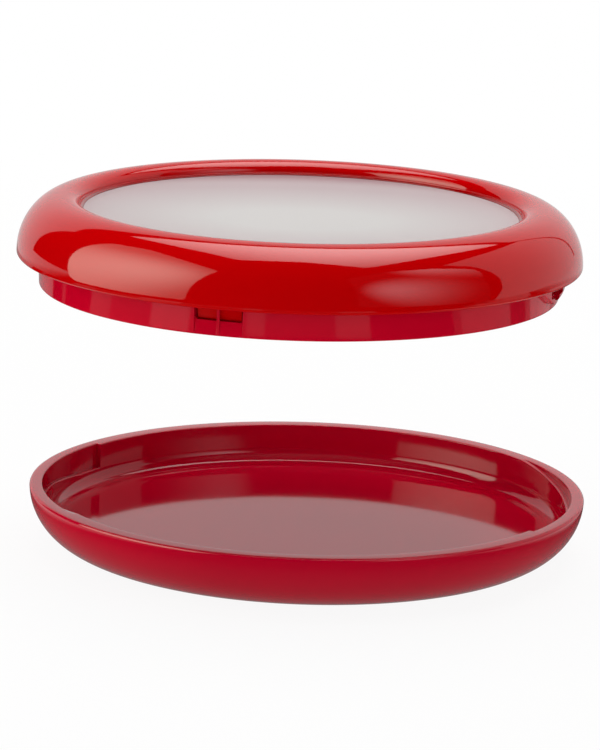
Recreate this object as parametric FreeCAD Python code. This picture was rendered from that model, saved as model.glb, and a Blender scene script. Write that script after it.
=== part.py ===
import FreeCAD, Part
import math
import os

# Round food saver: a shallow dish, and a lid whose stretch membrane is clamped between two rings.
# Millimetres, +Z up. The origin is on the dish's axis, in the plane that its foot stands on.
# Azimuths are degrees from the front (-Y), positive towards +X.

# Dish
rim_radius = 61.5
side_radius = 12.9
floor_thickness = 2.0
floor_depth = 8.85
wall_fillet = 3.4
foot_height = 1.0
foot_radius = 41.0
foot_width = 2.4
pad_radius = 12.0
land_width = 3.9
rim_outer_round = 0.6
rim_inner_round = 0.25

# Cam ramps in the dish's wall
ramp_count = 2
ramp_notch_depth = 1.1
ramp_drop = 5.5
ramp_sweep = 58.0
ramp_rest_sweep = 8.0
ramp_stop_azimuth = 56.0

# Lid, measured from the top face of its membrane
bezel_width = 13.95
foot_bevel_width = 0.75
foot_bevel_height = 0.3
crest_height = 2.95
crest_side_width = 3.2
crest_side_height = 2.4
bezel_drop = 9.95
bezel_wall = 2.0
bezel_overhang = 0.5
lip_round = 0.7
clamp_land = 2.4
membrane_thickness = 1.2
bead_width = 2.0
bead_height = 1.2
clamp_foot_step = 1.1

# Collar: the skirt that turns in the dish
skirt_depth = 6.5
skirt_thickness = 1.8
skirt_draft = 0.2
skirt_edge_round = 0.3
web_thickness = 1.8
web_corner_round = 1.0
web_inner_step = 0.4
cam_end_azimuth = 63.3
cam_rake_sweep = 6.7
cam_rake_rise = 3.2
cam_top_rise = 0.5

# Snap windows in the collar, and the bezel's tabs that close them; sweeps are in degrees
window_count = 4
window_azimuth = -16.5
window_sweep = 10.6
window_height = 2.9
window_top_drop = 0.45
window_corner_round = 0.7
sill_recess = 0.6
sill_slope = 0.45
mullion_width = 0.6
mullion_thickness = 0.45
mullion_overlap = 0.2
tab_sweep = 13.0
tab_thickness = 1.1
tab_overlap = 1.2
barb_sweep = 9.8
barb_reach = 1.2
barb_foot_reach = 0.7
barb_height = 2.5
cam_pocket_azimuth = 72.6
cam_pocket_width = 6.4
cam_pocket_drop = 4.4

# Clearances
collar_clearance = 0.4
cam_side_clearance = 0.3
cam_ramp_clearance = 0.3
seat_gap = 0.1
membrane_clearance = 0.3
tab_clearance = 0.15

# The lid's place at rest, lifted off the dish and held a little to one side of its axis
lid_raise = 51.5
lid_side_step = -3.2

# Sizes that follow
rim_z = foot_height + side_radius
floor_z = rim_z - floor_depth
underside_z = floor_z - floor_thickness
side_centre_radius = rim_radius - side_radius
land_radius = rim_radius - land_width
notch_radius = land_radius + ramp_notch_depth
opening_radius = rim_radius - bezel_width
seated_height = rim_z + seat_gap + bezel_drop
bezel_radius = rim_radius + bezel_overhang
skirt_radius = land_radius - collar_clearance
skirt_inner_radius = skirt_radius - skirt_thickness
cam_radius = notch_radius - cam_side_clearance
neck_radius = opening_radius + foot_bevel_width
groove_inner_radius = opening_radius + clamp_land
groove_outer_radius = groove_inner_radius + bead_width + 2 * membrane_clearance
clamp_foot_radius = skirt_radius - clamp_foot_step
web_top = -membrane_thickness
web_bottom = web_top - web_thickness
skirt_bottom = -(bezel_drop + skirt_depth)
window_top = -(bezel_drop + window_top_drop)
window_bottom = window_top - window_height
tab_outer_radius = skirt_inner_radius - tab_clearance
tab_inner_radius = tab_outer_radius - tab_thickness

AXIS = FreeCAD.Vector(0, 0, 1)
CENTRE = FreeCAD.Vector(0, 0, 0)
PAST = 2.0
FULL_TURN = 360.0
MATCH = 0.01


def at(radius, height):
    """A point of a profile, in the XZ plane."""
    return FreeCAD.Vector(radius, 0, height)


def side(start, end):
    return Part.LineSegment(start, end).toShape()


def bend(start, through, end):
    return Part.Arc(start, through, end).toShape()


def round_point(centre, radius, degrees):
    """The point of a circle in the XZ plane, at an angle from +X towards +Z."""
    turn = math.radians(degrees)
    return at(centre.x + radius * math.cos(turn), centre.z + radius * math.sin(turn))


def oval_quarter(centre, across, up, first_degrees, last_degrees):
    """Part of an upright or flat ellipse in the XZ plane, by its parametric angles."""
    middle = FreeCAD.Vector(centre)
    if up > across:
        oval = Part.Ellipse(middle + at(0, up), middle - at(across, 0), middle)
        turn = 90.0
    else:
        oval = Part.Ellipse(middle + at(across, 0), middle + at(0, up), middle)
        turn = 0.0
    first = math.radians(first_degrees - turn)
    last = math.radians(last_degrees - turn)
    return Part.ArcOfEllipse(oval, first, last).toShape()


def oval_point(centre, across, up, degrees):
    turn = math.radians(degrees)
    return at(centre.x + across * math.cos(turn), centre.z + up * math.sin(turn))


def outline(corners):
    """A closed straight-sided face through the corners."""
    loop = corners + [corners[0]]
    return Part.Face(Part.Wire([side(a, b) for a, b in zip(loop, loop[1:])]))


def spun(face, degrees=FULL_TURN):
    return face.revolve(CENTRE, AXIS, degrees)


def turned(shape, azimuth):
    """A copy of a shape made in the XZ plane, turned to an azimuth."""
    copy = shape.copy()
    copy.rotate(CENTRE, AXIS, azimuth - 90.0)
    return copy


def sector(inner, outer, low, high, azimuth, width):
    """A block between two radii and two heights, from an azimuth on round by a width."""
    corners = [at(inner, low), at(outer, low), at(outer, high), at(inner, high)]
    return turned(spun(outline(corners), width), azimuth)


def helical_block(inner, outer, tall, low, azimuth, sweep, rise):
    """A block whose underside climbs evenly over its sweep, with round inner and outer faces."""
    start, end = inner - PAST, outer + PAST
    path = Part.makeHelix(rise * FULL_TURN / sweep, rise, 0.5 * (start + end))
    path.translate(at(0, low))
    section = outline([at(start, low), at(end, low), at(end, low + tall), at(start, low + tall)])
    block = Part.Wire(path.Edges).makePipeShell([section.OuterWire], True, True)
    ring = sector(inner, outer, low - PAST, low + rise + tall + PAST, 0.0, FULL_TURN)
    return turned(block.common(ring), azimuth)


def circle_edges(shape, radius, height):
    """The round edges of a spun shape at a radius and height."""
    found = []
    for edge in shape.Edges:
        if not isinstance(edge.Curve, Part.Circle):
            continue
        if abs(edge.Curve.Radius - radius) < MATCH and abs(edge.Curve.Center.z - height) < MATCH:
            found.append(edge)
    return found


def around(count):
    return [FULL_TURN / count * index for index in range(count)]


def make_dish():
    """The base: a foot ring and pad, a quarter-round side, a flat rim and cam ramps in its wall."""
    centre = at(side_centre_radius, rim_z)
    fillet_centre = at(land_radius - wall_fillet, floor_z + wall_fillet)
    foot_inner = foot_radius - foot_width
    edges = [
        side(at(0, 0), at(pad_radius, 0)),
        side(at(pad_radius, 0), at(pad_radius, underside_z)),
        side(at(pad_radius, underside_z), at(foot_inner, underside_z)),
        side(at(foot_inner, underside_z), at(foot_inner, 0)),
        side(at(foot_inner, 0), at(foot_radius, 0)),
        side(at(foot_radius, 0), at(foot_radius, foot_height)),
        side(at(foot_radius, foot_height), at(side_centre_radius, foot_height)),
        bend(at(side_centre_radius, foot_height), round_point(centre, side_radius, -45.0),
             at(rim_radius, rim_z)),
        side(at(rim_radius, rim_z), at(land_radius, rim_z)),
        side(at(land_radius, rim_z), at(land_radius, fillet_centre.z)),
        bend(at(land_radius, fillet_centre.z), round_point(fillet_centre, wall_fillet, -45.0),
             at(fillet_centre.x, floor_z)),
        side(at(fillet_centre.x, floor_z), at(0, floor_z)),
        side(at(0, floor_z), at(0, 0)),
    ]
    dish = spun(Part.Face(Part.Wire(edges)))
    dish = dish.makeFillet(rim_outer_round, circle_edges(dish, rim_radius, rim_z))
    dish = dish.makeFillet(rim_inner_round, circle_edges(dish, land_radius, rim_z))
    for turn in around(ramp_count):
        dish = dish.cut(make_ramp_cut(turn))
    return dish


def make_ramp_cut(turn):
    """What is taken out of the wall above one ramp: a level rest by the stop, then the climb."""
    low = rim_z - ramp_drop
    inner = land_radius - PAST
    rest = sector(inner, notch_radius, low, rim_z + PAST, ramp_stop_azimuth + turn, ramp_rest_sweep)
    climb_azimuth = ramp_stop_azimuth + ramp_rest_sweep + turn
    climb = helical_block(inner, notch_radius, ramp_drop + PAST, low, climb_azimuth, ramp_sweep, ramp_drop)
    return rest.fuse(climb)


def make_membrane():
    """The stretch membrane: a flat disc with a bead round its edge, in the lid's groove."""
    inner = groove_inner_radius + membrane_clearance
    outer = inner + bead_width
    shoulder = bead_height - 0.5 * bead_width
    edges = [
        side(at(0, -membrane_thickness), at(outer, -membrane_thickness)),
        side(at(outer, -membrane_thickness), at(outer, shoulder)),
        bend(at(outer, shoulder), at(0.5 * (inner + outer), bead_height), at(inner, shoulder)),
        side(at(inner, shoulder), at(inner, 0)),
        side(at(inner, 0), at(0, 0)),
        side(at(0, 0), at(0, -membrane_thickness)),
    ]
    return spun(Part.Face(Part.Wire(edges)))


def make_bezel():
    """The lid's outer ring: a hollow dome with a clamping foot, a bead groove and snap tabs."""
    crest = at(neck_radius + crest_side_width, crest_height)
    crest_centre = at(crest.x, crest_height - crest_side_height)
    lip_height = lip_round - bezel_drop
    dome_centre = at(crest.x, lip_height)
    across = bezel_radius - crest.x
    up = crest_height - lip_height
    inner_across = across - bezel_wall
    inner_up = up - bezel_wall
    foot_turn = math.degrees(math.acos((clamp_foot_radius - dome_centre.x) / inner_across))
    foot_top = oval_point(dome_centre, inner_across, inner_up, foot_turn)
    lip_centre = at(bezel_radius - lip_round, lip_height)
    groove_top = bead_height + membrane_clearance
    bevel_foot = at(opening_radius, 0.5 * foot_bevel_height)
    bevel_top = at(neck_radius, 0.5 * foot_bevel_height + foot_bevel_height)
    edges = [
        side(at(opening_radius, 0), bevel_foot),
        side(bevel_foot, bevel_top),
        side(bevel_top, at(neck_radius, crest_centre.z)),
        oval_quarter(crest_centre, crest_side_width, crest_side_height, 90.0, 180.0),
        oval_quarter(dome_centre, across, up, 0.0, 90.0),
        bend(at(bezel_radius, lip_height), round_point(lip_centre, lip_round, -45.0),
             at(lip_centre.x, -bezel_drop)),
        side(at(lip_centre.x, -bezel_drop), at(bezel_radius - bezel_wall, -bezel_drop)),
        side(at(bezel_radius - bezel_wall, -bezel_drop), at(bezel_radius - bezel_wall, lip_height)),
        oval_quarter(dome_centre, inner_across, inner_up, 0.0, foot_turn),
        side(foot_top, at(clamp_foot_radius, web_top)),
        side(at(clamp_foot_radius, web_top), at(groove_outer_radius, web_top)),
        side(at(groove_outer_radius, web_top), at(groove_outer_radius, groove_top)),
        side(at(groove_outer_radius, groove_top), at(groove_inner_radius, groove_top)),
        side(at(groove_inner_radius, groove_top), at(groove_inner_radius, 0)),
        side(at(groove_inner_radius, 0), at(opening_radius, 0)),
    ]
    bezel = spun(Part.Face(Part.Wire(Part.__sortEdges__(edges))))
    for turn in around(window_count):
        bezel = bezel.fuse(make_tab(turn))
    return bezel.removeSplitter()


def make_tab(turn):
    """One snap tab: a tongue that closes the window from behind, with a barb under its top edge."""
    barb_top = window_top - tab_clearance
    tongue = sector(tab_inner_radius, tab_outer_radius, window_bottom - tab_overlap,
                    web_top + 0.5 * web_thickness, window_azimuth - 0.5 * tab_sweep + turn, tab_sweep)
    barb = outline([
        at(tab_inner_radius, barb_top),
        at(tab_inner_radius, barb_top - barb_height),
        at(tab_outer_radius + barb_foot_reach, barb_top - barb_height),
        at(tab_outer_radius + barb_reach, barb_top),
    ])
    return tongue.fuse(turned(spun(barb, barb_sweep), window_azimuth - 0.5 * barb_sweep + turn))


def make_collar():
    """The lid's inner ring: a web under the membrane, and a skirt with cams and snap windows."""
    foot = skirt_radius - skirt_draft
    shoulder = web_top - clamp_foot_step
    web_inner = opening_radius - web_inner_step
    face = outline([
        at(web_inner, web_top),
        at(clamp_foot_radius, web_top),
        at(skirt_radius, shoulder),
        at(skirt_radius, -bezel_drop),
        at(foot, skirt_bottom),
        at(skirt_inner_radius, skirt_bottom),
        at(skirt_inner_radius, web_bottom),
        at(web_inner, web_bottom),
    ])
    collar = spun(face)
    collar = collar.makeFillet(skirt_edge_round, circle_edges(collar, foot, skirt_bottom))
    collar = collar.makeFillet(web_corner_round, circle_edges(collar, skirt_inner_radius, web_bottom))
    for turn in around(window_count):
        collar = collar.cut(make_window_cut(turn))
        collar = collar.cut(make_tab_slot(turn))
    for turn in around(ramp_count):
        collar = collar.cut(make_sill_cut(turn))
        collar = collar.fuse(make_mullion(turn))
        collar = collar.fuse(make_cam(turn))
    return collar.removeSplitter()


def make_cam(turn):
    """One cam on the skirt: its underside follows the ramp, and its deep end is raked."""
    inner = skirt_radius - skirt_draft - skirt_edge_round
    climb_rate = ramp_drop / ramp_sweep
    climb_azimuth = cam_end_azimuth + cam_rake_sweep
    past_rest = climb_azimuth - ramp_stop_azimuth - ramp_rest_sweep
    low = -bezel_drop - ramp_drop + cam_ramp_clearance + climb_rate * past_rest
    top = -bezel_drop + cam_top_rise
    level = sector(inner, cam_radius, low, top, cam_end_azimuth + turn, cam_rake_sweep)
    climb = helical_block(inner, cam_radius, top - low, low, climb_azimuth + turn,
                          (top - low) / climb_rate, top - low)
    above = sector(inner - PAST, cam_radius + PAST, top, top + 2 * (top - low), 0.0, FULL_TURN)
    rake_length = cam_radius * math.radians(cam_rake_sweep)
    rake = across_skirt([(-PAST, low - PAST), (rake_length, low - PAST), (rake_length, low),
                         (0, low + cam_rake_rise), (-PAST, low + cam_rake_rise)], inner - PAST)
    cam = level.fuse(climb).cut(above).cut(turned(rake, cam_end_azimuth + turn))
    return cam.cut(make_cam_pocket(turn))


def across_skirt(corners, start):
    """A straight block out through the skirt, its outline given as (along, height) corners."""
    points = [FreeCAD.Vector(start, along, height) for along, height in corners]
    return outline(points).extrude(FreeCAD.Vector(cam_radius + PAST - start, 0, 0))


def make_cam_pocket(turn):
    """The round-bottomed pocket in a cam, in front of one snap window."""
    half = 0.5 * cam_pocket_width
    low = -bezel_drop - cam_pocket_drop
    corners = [(-half, low + half), (half, low + half), (half, PAST), (-half, PAST)]
    slot = across_skirt(corners, skirt_radius)
    end = Part.makeCylinder(half, cam_radius + PAST - skirt_radius, at(skirt_radius, low + half), at(1, 0))
    return turned(slot.fuse(end), cam_pocket_azimuth + turn)


def make_window_cut(turn):
    """A round-cornered window through the skirt."""
    window = sector(skirt_inner_radius - PAST, cam_radius + PAST, window_bottom, window_top,
                    window_azimuth - 0.5 * window_sweep + turn, window_sweep)
    depth = cam_radius - skirt_inner_radius + 2 * PAST
    corners = [edge for edge in window.Edges if abs(edge.Length - depth) < MATCH]
    return window.makeFillet(window_corner_round, corners)


def make_sill_cut(turn):
    """The slope cut back below an open window."""
    corners = [
        at(skirt_radius - sill_recess, window_bottom + window_corner_round),
        at(skirt_radius - sill_recess + sill_slope, skirt_bottom - PAST),
        at(cam_radius + PAST, skirt_bottom - PAST),
        at(cam_radius + PAST, window_bottom + window_corner_round),
    ]
    return turned(spun(outline(corners), window_sweep), window_azimuth - 0.5 * window_sweep + turn)


def make_mullion(turn):
    """The thin upright in the middle of a window."""
    sweep = math.degrees(mullion_width / skirt_radius)
    outer = skirt_radius - skirt_draft
    foot = skirt_bottom + skirt_edge_round
    return sector(outer - mullion_thickness, outer, foot, window_top + mullion_overlap,
                  window_azimuth - 0.5 * sweep + turn, sweep)


def make_tab_slot(turn):
    """The slot in the web that a snap tab passes through."""
    sweep = tab_sweep + math.degrees(2 * tab_clearance / tab_inner_radius)
    return sector(tab_inner_radius - tab_clearance, skirt_inner_radius, web_bottom - web_corner_round,
                  web_top + PAST, window_azimuth - 0.5 * sweep + turn, sweep)


def lid_at_rest(shape):
    """A lid piece, moved from the membrane's frame to where the lifted lid is."""
    copy = shape.copy()
    copy.translate(FreeCAD.Vector(lid_side_step, 0, seated_height + lid_raise))
    return copy


def main():
    os.makedirs("parts", exist_ok=True)
    pieces = {
        "dish": make_dish(),
        "stretch_membrane": lid_at_rest(make_membrane()),
        "lid_bezel": lid_at_rest(make_bezel()),
        "locking_collar": lid_at_rest(make_collar()),
    }
    for name, shape in pieces.items():
        if not shape.isValid() or len(shape.Solids) != 1:
            raise RuntimeError(name + " isn't one sound solid")
        shape.Solids[0].exportStep("parts/" + name + ".step")
        box = shape.BoundBox
        print(name, "volume %.0f mm3" % shape.Volume, "z %.2f to %.2f" % (box.ZMin, box.ZMax))


main()
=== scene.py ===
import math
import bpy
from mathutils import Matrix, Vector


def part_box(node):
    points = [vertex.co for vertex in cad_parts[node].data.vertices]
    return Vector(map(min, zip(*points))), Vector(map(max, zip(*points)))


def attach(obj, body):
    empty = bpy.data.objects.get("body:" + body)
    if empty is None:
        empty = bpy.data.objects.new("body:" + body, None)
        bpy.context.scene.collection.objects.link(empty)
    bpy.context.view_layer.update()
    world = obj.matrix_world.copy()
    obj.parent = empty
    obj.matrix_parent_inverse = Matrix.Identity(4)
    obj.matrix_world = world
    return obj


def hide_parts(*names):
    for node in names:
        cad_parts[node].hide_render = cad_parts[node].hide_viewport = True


bl_info = {
    "name": "Round Food Saver",
    "version": (1, 0, 0),
    "blender": (4, 5, 0),
    "location": "3D View > Sidebar > Food Saver",
    "description": "Builds a shallow twist-lock dish and its ring lid with a frosted membrane",
    "category": "Object",
}

import bmesh
import bpy
from mathutils import Matrix, Vector

# Azimuths are degrees from the front (-Y), positive towards +X. Heights on the lid are from the
# top face of its membrane. Sizes are in metres, and MM turns millimetres into them.
MM = 0.001
TINY = 1e-7

# The membrane's thickness, in millimetres like the sizes that a user can change
MEMBRANE_THICKNESS = 1.2

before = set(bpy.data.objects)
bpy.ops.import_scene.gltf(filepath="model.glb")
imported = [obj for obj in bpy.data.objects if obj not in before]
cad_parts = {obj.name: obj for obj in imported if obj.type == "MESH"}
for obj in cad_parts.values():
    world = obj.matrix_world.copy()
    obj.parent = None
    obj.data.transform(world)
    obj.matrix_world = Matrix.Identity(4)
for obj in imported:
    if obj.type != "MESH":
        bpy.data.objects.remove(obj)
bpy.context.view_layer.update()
MEMBRANE_LOW, MEMBRANE_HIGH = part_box("stretch_membrane")
LID_PLACE = Vector((0.5 * (MEMBRANE_LOW.x + MEMBRANE_HIGH.x), 0,
                    MEMBRANE_LOW.z + MEMBRANE_THICKNESS * MM))
RIM_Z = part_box("dish")[1].z

# Repeats round the axis, and how far cutters go past what they cut
WINDOW_COUNT = 4
CAM_COUNT = 2
PAST = 1.0 * MM

# Fineness of the meshes: columns once round, and steps along each arc of a section
COLUMNS = 480
BLOCK_STEP = math.radians(1)
WINDOW_STEP = math.radians(0.5)
ROUND_STEPS = 5
RIM_STEPS = 6
BEAD_STEPS = 8
LIP_STEPS = 8
POCKET_STEPS = 20
CREST_STEPS = 24
FILLET_STEPS = 24
SIDE_STEPS = 40
DOME_STEPS = 72
SHARP_ANGLE = math.radians(28)

# How much of a small step's height its rounding may take
NOTCH_PART = 0.9
CAM_PART = 0.4
BEVEL_PART = 0.3

# Rings of faces on the dish's floor and on the membrane, as parts of their radius
FLOOR_RINGS = (0.8, 0.6, 0.4, 0.2, 0)
MEMBRANE_RINGS = (0, 0.2, 0.4, 0.6, 0.8, 0.9, 1)

# Painted light on the membrane, measured from this spot a little in front of its middle: a painted
# red reflection of the ring towards its edge, and painted shade on its far edge. Each reach is how
# far from the spot that starts and is full.
RED_FREE_SPOT = LID_PLACE + Vector((0, -8 * MM, 0))
SPOT_STRETCH = (0.8, 1.15, 1)
FILM_RED_REFLECTION = "#EAD8DD"
RED_REFLECTION_REACH = (14 * MM, 45 * MM)
FILM_SHADE = "#DDBFC5"
SHADE_REACH = (50 * MM, 64 * MM)
HAZE_SHADE = 0.95

# How much rub marks change the gloss, and the width and strength of the painted shade in the
# bezel's crease at the membrane
RUB_SPREAD = 0.2
CREASE_WIDTH = 0.2 * MM
CREASE_SHADE = 0.45

# Colours of the stage
WHITE = "#FFFFFF"
PAPER = "#E7E7E7"

# Strengths, where 1 is white: the paper behind as the gloss mirrors it, the table, and the room
BACK_LIGHT = 0.7
TABLE_LIGHT = 0.25
ROOM_LIGHT = 0.32

# The paper as the gloss mirrors it. Each pair is where its light starts and ends to change, in
# metres: behind the axis, round the foot, beside the dish, and where all that is near the dish
# dies away.
BEHIND = (0.1, 0.35)
UNDER = (0.054, 0.082)
UNDER_LIGHT = (0.26, 0.04)
BESIDE = (0.076, 0.09)
BESIDE_LIGHT = 0.75
NEAR = (0.1, 0.16)

# The paper as the camera sees it: plain white but for this part, and all plain further off
SHADED = (0.1, 0.5)
SHADED_PART = 0.08

FLOOR_REACH = 4.0
CARD_ROUND_STEPS = 8

# The light cards, in metres. A glow is its strength, its middle, its turn in degrees and its reach.
BACK_CARD = ((-0.66, 0.6, 0.0), (0.42, 0.6, 0.0), (0.42, 0.6, 0.63), (-0.66, 0.6, 0.63))
TOP_CARD = ((-0.235, -0.145, 0.878), (0.0, -0.14, 0.876), (0.31, -0.3, 0.926), (0.36, -0.05, 0.848),
            (0.42, 0.55, 0.66), (-0.345, 0.47, 0.685))
TOP_ROUND = 0.03
TOP_GLOW = (3.6, (0.06, 0.2, 0.77), 0, (0.6, 0.85, 1))

# Upright cards at a distance to one side, as corners (y, z)
LEFT_SIDE = -0.5
LEFT_CARD = ((0.065, 0.003), (-0.53, 0.003), (-0.6, 0.88), (0.08, 0.77), (0.2, 0.6))
LEFT_ROUND = 0.04
LEFT_GLOW = (3.8, (LEFT_SIDE, -0.2, 0.33), -40, (1, 0.7, 0.42))
RIGHT_SIDE = 0.6
RIGHT_BACK_CARD = ((-0.1, 0.0), (0.86, 0.0), (0.86, 0.79), (-0.08, 0.79), (-0.025, 0.58),
                   (-0.028, 0.4), (-0.035, 0.25), (-0.06, 0.1))
RIGHT_FRONT_CARD = ((-1.4, 0.0), (-0.13, 0.0), (-0.11, 0.3), (-0.068, 0.42), (-0.062, 0.51),
                    (-0.1, 0.6), (-0.2, 0.8), (-0.54, 1.18), (-1.4, 1.6))
RIGHT_LOW_GLOW = (1.86, (RIGHT_SIDE, -0.73, 0.45), -37, (1, 0.7, 0.45))
RIGHT_HIGH_GLOW = (1.85, (RIGHT_SIDE, -0.18, 0.77), -57, (1, 0.6, 0.28))

# Rings of table strips: inner and outer radius, and for each strip its first and last azimuth
# and its strength
NEAR_RING = (0.2, 0.4, ((-160, -127, 0.33), (-127, -116, 0.0), (-116, -113, 0.13), (-113, -93, 0.0),
                        (-93, -81, 0.28), (-81, -60, 0.1), (-60, -43, 0.5), (-43, -20, 0.1),
                        (-20, -13, 0.3), (-13, 14, 0.07), (14, 27.5, 0.3), (27.5, 64, 0.0),
                        (64, 68, 0.15), (68, 97, 0.35), (97, 109, 0.03), (109, 113, 0.2),
                        (113, 137, 0.55)))
FAR_RING = (0.4, 0.59, ((70, 76, 0.06), (76, 80, 0.15), (80, 84, 0.28), (84, 100, 0.4)))
STRIP_LIFT = 1 * MM
STRIP_STEPS = 8

# Soft lamps: strength, width and height, place, and turn in degrees
LAMPS = {
    "Front fill": (0.8, (1.4, 0.3), (0.0, -1.0, 0.16), (84, 0, 0)),
    "Side fill": (0.8, (0.7, 0.7), (-0.5, -0.18, 0.42), (0, -90, 0)),
    "Low side fill": (0.95, (0.16, 0.6), (-0.4, -0.1, 0.1), (0, -90, 0)),
    "Dish side fill": (0.6, (0.06, 0.14), (-0.105, -0.03, 0.052), (0, 0, 0)),
}

# The camera's lens and sensor in millimetres, its place, and its turns in degrees
LENS = 185.8
SENSOR = 36
CLIP_END = 20
CAMERA_PLACE = (0, -0.8336, 0.2276)
TILT_DOWN = 12.745
TURN_LEFT = 0.159
ROLL = 1.86


def linear(hex_colour):
    """An sRGB hex value as the linear colour that a shader takes."""
    parts = [int(hex_colour[index:index + 2], 16) / 255 for index in (1, 3, 5)]
    return [part / 12.92 if part <= 0.04045 else ((part + 0.055) / 1.055) ** 2.4 for part in parts]


def length(name, millimetres, description):
    """A size that a user can change, given in millimetres."""
    return bpy.props.FloatProperty(name=name, description=description, default=millimetres * MM,
                                   unit="LENGTH", subtype="DISTANCE", precision=5)


def angle(name, degrees, description):
    """An angle that a user can change, given in degrees."""
    return bpy.props.FloatProperty(name=name, description=description,
                                   default=math.radians(degrees), unit="ROTATION",
                                   subtype="ANGLE")


def colour(name, hex_colour, description):
    """A colour that a user can change, given in hex."""
    return bpy.props.FloatVectorProperty(name=name, description=description,
                                         default=linear(hex_colour), size=3, min=0, max=1,
                                         subtype="COLOR")


class SaverDishSizes(bpy.types.PropertyGroup):
    """Sizes of the dish and of the two ramps in its wall"""
    rim_radius: length("Rim radius", 61.5, "Outside radius of the dish's rim")
    side_radius: length("Side radius", 12.9, "Radius of the quarter-round side")
    floor_depth: length("Floor depth", 8.85, "Depth of the floor below the rim")
    floor: length("Floor", 2.0, "Thickness of the floor")
    fillet: length("Wall fillet", 3.4, "Radius between the wall and the floor")
    land: length("Rim land", 3.9, "Width of the flat rim")
    rim_round: length("Rim round", 0.6, "Rounding of the rim's outer edge")
    inner_round: length("Inner round", 0.25, "Rounding of the rim's inner edges")
    foot_height: length("Foot height", 1.0, "Height of the foot ring below the side")
    foot_radius: length("Foot radius", 41.0, "Outside radius of the foot ring")
    foot_width: length("Foot width", 2.4, "Width of the foot ring")
    pad_radius: length("Pad radius", 12.0, "Radius of the pad in the middle of the underside")
    ramp_width: length("Ramp width", 1.1, "How far the ramps are cut into the wall")
    ramp_drop: length("Ramp drop", 5.5, "Depth of the ramps' deep end below the rim")
    ramp_sweep: angle("Ramp sweep", 58.0, "How far round a ramp climbs")
    rest_sweep: angle("Rest sweep", 8.0, "Level stretch between a ramp and its stop")
    stop: angle("Stop", 56.0, "Azimuth of the first ramp's stop")


class SaverLidSizes(bpy.types.PropertyGroup):
    """Sizes of the lid's bezel, collar and membrane"""
    opening: length("Opening radius", 47.55, "Radius of the membrane that shows")
    neck: length("Neck radius", 48.3, "Radius of the wall round the membrane")
    bevel: length("Bevel height", 0.3, "Height of the bevel at the neck's foot")
    crest: length("Crest height", 2.95, "Height of the bezel's crest")
    crest_side: length("Crest side", 3.2, "Width of the rounding from the neck to the crest")
    crest_fall: length("Crest fall", 2.4, "Height of the rounding from the neck to the crest")
    bezel_radius: length("Bezel radius", 62.0, "Outside radius of the bezel")
    bezel_drop: length("Bezel drop", 9.95, "Depth of the bezel's lip")
    bezel_wall: length("Bezel wall", 2.0, "Thickness of the bezel's dome")
    lip_round: length("Lip round", 0.7, "Rounding of the lip's outer edge")
    membrane: length("Membrane", MEMBRANE_THICKNESS, "Thickness of the membrane")
    clamp_land: length("Clamp land", 2.4, "Width of the clamping foot inside the bead groove")
    bead_width: length("Bead width", 2.0, "Width of the membrane's bead")
    bead_height: length("Bead height", 1.2, "Height of the membrane's bead")
    bead_gap: length("Bead gap", 0.3, "Gap between the bead and its groove")
    clamp_step: length("Clamp step", 1.1, "How far the clamping foot ends inside the skirt")
    web: length("Web", 1.8, "Thickness of the web under the membrane")
    web_step: length("Web step", 0.4, "How far the web stands into the opening")
    web_round: length("Web round", 1.0, "Radius between the web and the skirt")
    skirt_radius: length("Skirt radius", 57.2, "Outside radius of the collar's skirt")
    skirt_drop: length("Skirt drop", 16.45, "Depth of the skirt's edge")
    skirt_wall: length("Skirt wall", 1.8, "Thickness of the skirt")
    skirt_draft: length("Skirt draft", 0.2, "How much the skirt narrows to its edge")
    skirt_round: length("Skirt edge round", 0.3, "Rounding of the skirt's edge")
    cam_radius: length("Cam radius", 58.4, "Outside radius of the cams")
    cam_top: length("Cam top", 9.45, "Depth of the cams' hidden top")
    cam_drop: length("Cam drop", 14.58, "Depth of the cams' deep end")
    cam_round: length("Cam round", 0.25, "Rounding of the cams' lower edge")
    cam_rake: length("Cam rake", 3.2, "How far the deep end is cut away")
    cam_start: angle("Cam start", 63.3, "Azimuth of the first cam's deep end")
    cam_rake_sweep: angle("Cam rake sweep", 6.7, "How far round the deep end is cut away")
    pocket_middle: angle("Cam pocket", 72.6, "Azimuth of the first cam's pocket")
    pocket_width: length("Pocket width", 6.4, "Width of a cam's pocket")
    pocket_drop: length("Pocket drop", 14.35, "Depth of a pocket's round bottom")
    window_middle: angle("Window", -16.5, "Azimuth of the first snap window")
    window_sweep: angle("Window sweep", 10.6, "Width of a snap window")
    window_top: length("Window top", 10.4, "Depth of the windows' top edge")
    window_bottom: length("Window bottom", 13.3, "Depth of the windows' bottom edge")
    window_round: length("Window round", 0.7, "Rounding of the windows' corners")
    sill_recess: length("Sill recess", 0.6, "How far the skirt is cut back below a window")
    sill_slope: length("Sill slope", 0.45, "How much less it is cut back just past its edge")
    mullion_width: length("Mullion width", 0.6, "Width of the upright in a window")
    mullion_depth: length("Mullion depth", 0.45, "Thickness of the upright in a window")
    tab_sweep: angle("Tab sweep", 13.0, "Width of a snap tab behind a window")
    tab_thickness: length("Tab thickness", 1.1, "Thickness of a snap tab")
    tab_overlap: length("Tab overlap", 1.2, "How far a tab reaches below its window")
    tab_gap: length("Tab gap", 0.15, "Gap between a tab and the skirt")
    barb_sweep: angle("Barb sweep", 9.8, "Width of a tab's barb")
    barb_reach: length("Barb reach", 1.2, "How far the top of a barb stands out of its tab")
    barb_foot: length("Barb foot", 0.7, "How far the foot of a barb stands out of its tab")
    barb_height: length("Barb height", 2.5, "Height of a barb")


class SaverFinish(bpy.types.PropertyGroup):
    """Colours of the saver"""
    bezel_red: colour("Bezel red", "#C80003", "Red of the polished bezel")
    dish_red: colour("Dish red", "#C20026", "Red of the dish")
    collar_red: colour("Collar red", "#D00025", "Red of the collar")
    frost: colour("Frost", "#C6C4C3", "Grey of the frosted membrane")


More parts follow.
